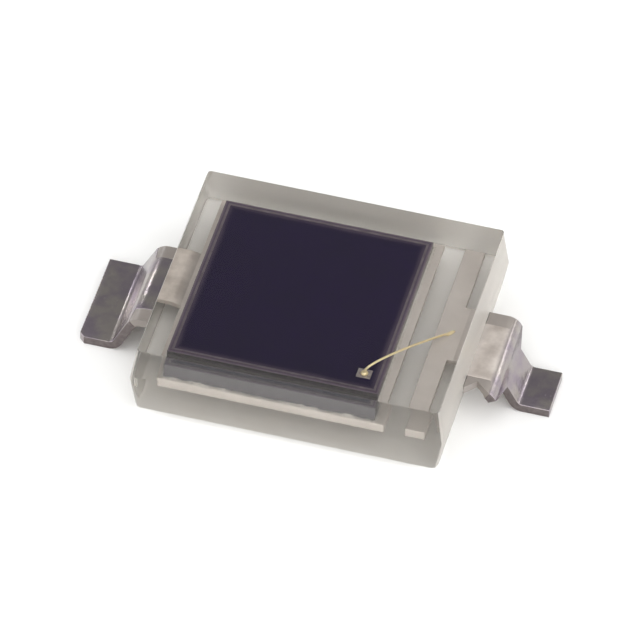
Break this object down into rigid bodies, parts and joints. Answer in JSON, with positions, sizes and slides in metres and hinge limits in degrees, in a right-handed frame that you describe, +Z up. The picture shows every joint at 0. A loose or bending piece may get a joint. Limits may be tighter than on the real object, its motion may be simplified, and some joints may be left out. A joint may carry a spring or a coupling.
{
  "type": "photodiode",
  "caption": "Surface-mount photodiode: a silicon chip with a gold bond wire on a stamped leadframe, moulded into a clear epoxy block with gull-wing leads.",
  "frame": {"origin": "on the board plane, under the middle of the span from toe to toe", "axes": "+X along the leads towards the narrow anode lead, +Z up from the board towards the light"},
  "size_m": [0.0066, 0.0038, 0.0012],
  "materials": {
    "clear_epoxy": "clear, faintly milky moulded epoxy",
    "tin_plate": "tin-plated copper strip, stamped and bent",
    "silver_glue": "silver-filled glue",
    "silicon": "polished silicon with a dark anti-reflection film",
    "ring_film": "thin metal film",
    "pad_film": "thin aluminium film",
    "gold": "drawn gold wire"
  },
  "bodies": {
    "root": {"epoxy_body": "clear_epoxy", "cathode_lead": "tin_plate", "anode_lead": "tin_plate", "die_attach": "silver_glue", "silicon_chip": "silicon", "guard_ring": "ring_film", "bond_pad": "pad_film", "bond_wire": "gold"}
  },
  "joints": []
}
